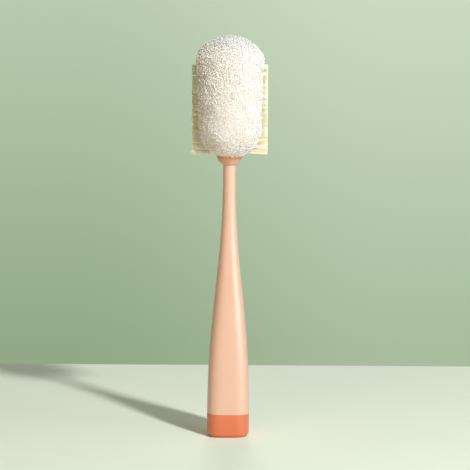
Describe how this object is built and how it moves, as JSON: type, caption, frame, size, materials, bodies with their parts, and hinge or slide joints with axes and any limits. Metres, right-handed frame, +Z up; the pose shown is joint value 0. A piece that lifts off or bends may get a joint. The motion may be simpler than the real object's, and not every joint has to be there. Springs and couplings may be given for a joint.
{
  "type": "bottle brush",
  "caption": "Upright bottle brush: round open-mesh head with a bristle row on each side, on a tapered hollow handle with a pull-off base cap.",
  "frame": {"origin": "middle of the base's flat underside", "axes": "+Z up along the handle's axis; the two bristle rows point along +X and -X, and the pictured front faces -Y"},
  "size_m": [0.0562, 0.0506, 0.3],
  "materials": {
    "handle": "satin",
    "base": "satin",
    "seal": "matte",
    "cup": "satin",
    "core": "satin",
    "bristles": "satin",
    "pads": "matte"
  },
  "bodies": {
    "handle": {"handle_shell": "handle"},
    "base": {"end_cap": "base", "cap_seal": "seal"},
    "thread": {"neck_seal": "seal"},
    "head": {"head_cup": "cup", "head_core": "core", "bristles_left": "bristles", "bristles_right": "bristles", "pad_front": "pads", "pad_back": "pads"}
  },
  "joints": [
    {"name": "cap_pull", "type": "slide", "parent": "base", "child": "handle", "axis": [0, 0, 1], "range_m": [0, 0.013]},
    {"name": "head_lift", "type": "slide", "parent": "handle", "child": "thread", "axis": [0, 0, 1], "range_m": [0, 0.01]},
    {"name": "head_turn", "type": "hinge", "parent": "thread", "child": "head", "pos_m": [0, 0, 0.2045], "axis": [0, 0, 1], "range_deg": [0, 1800]}
  ],
  "couplings": [
    {"joint": "head_lift", "follows": "head_turn", "m_per_rad": 0.0003183}
  ]
}
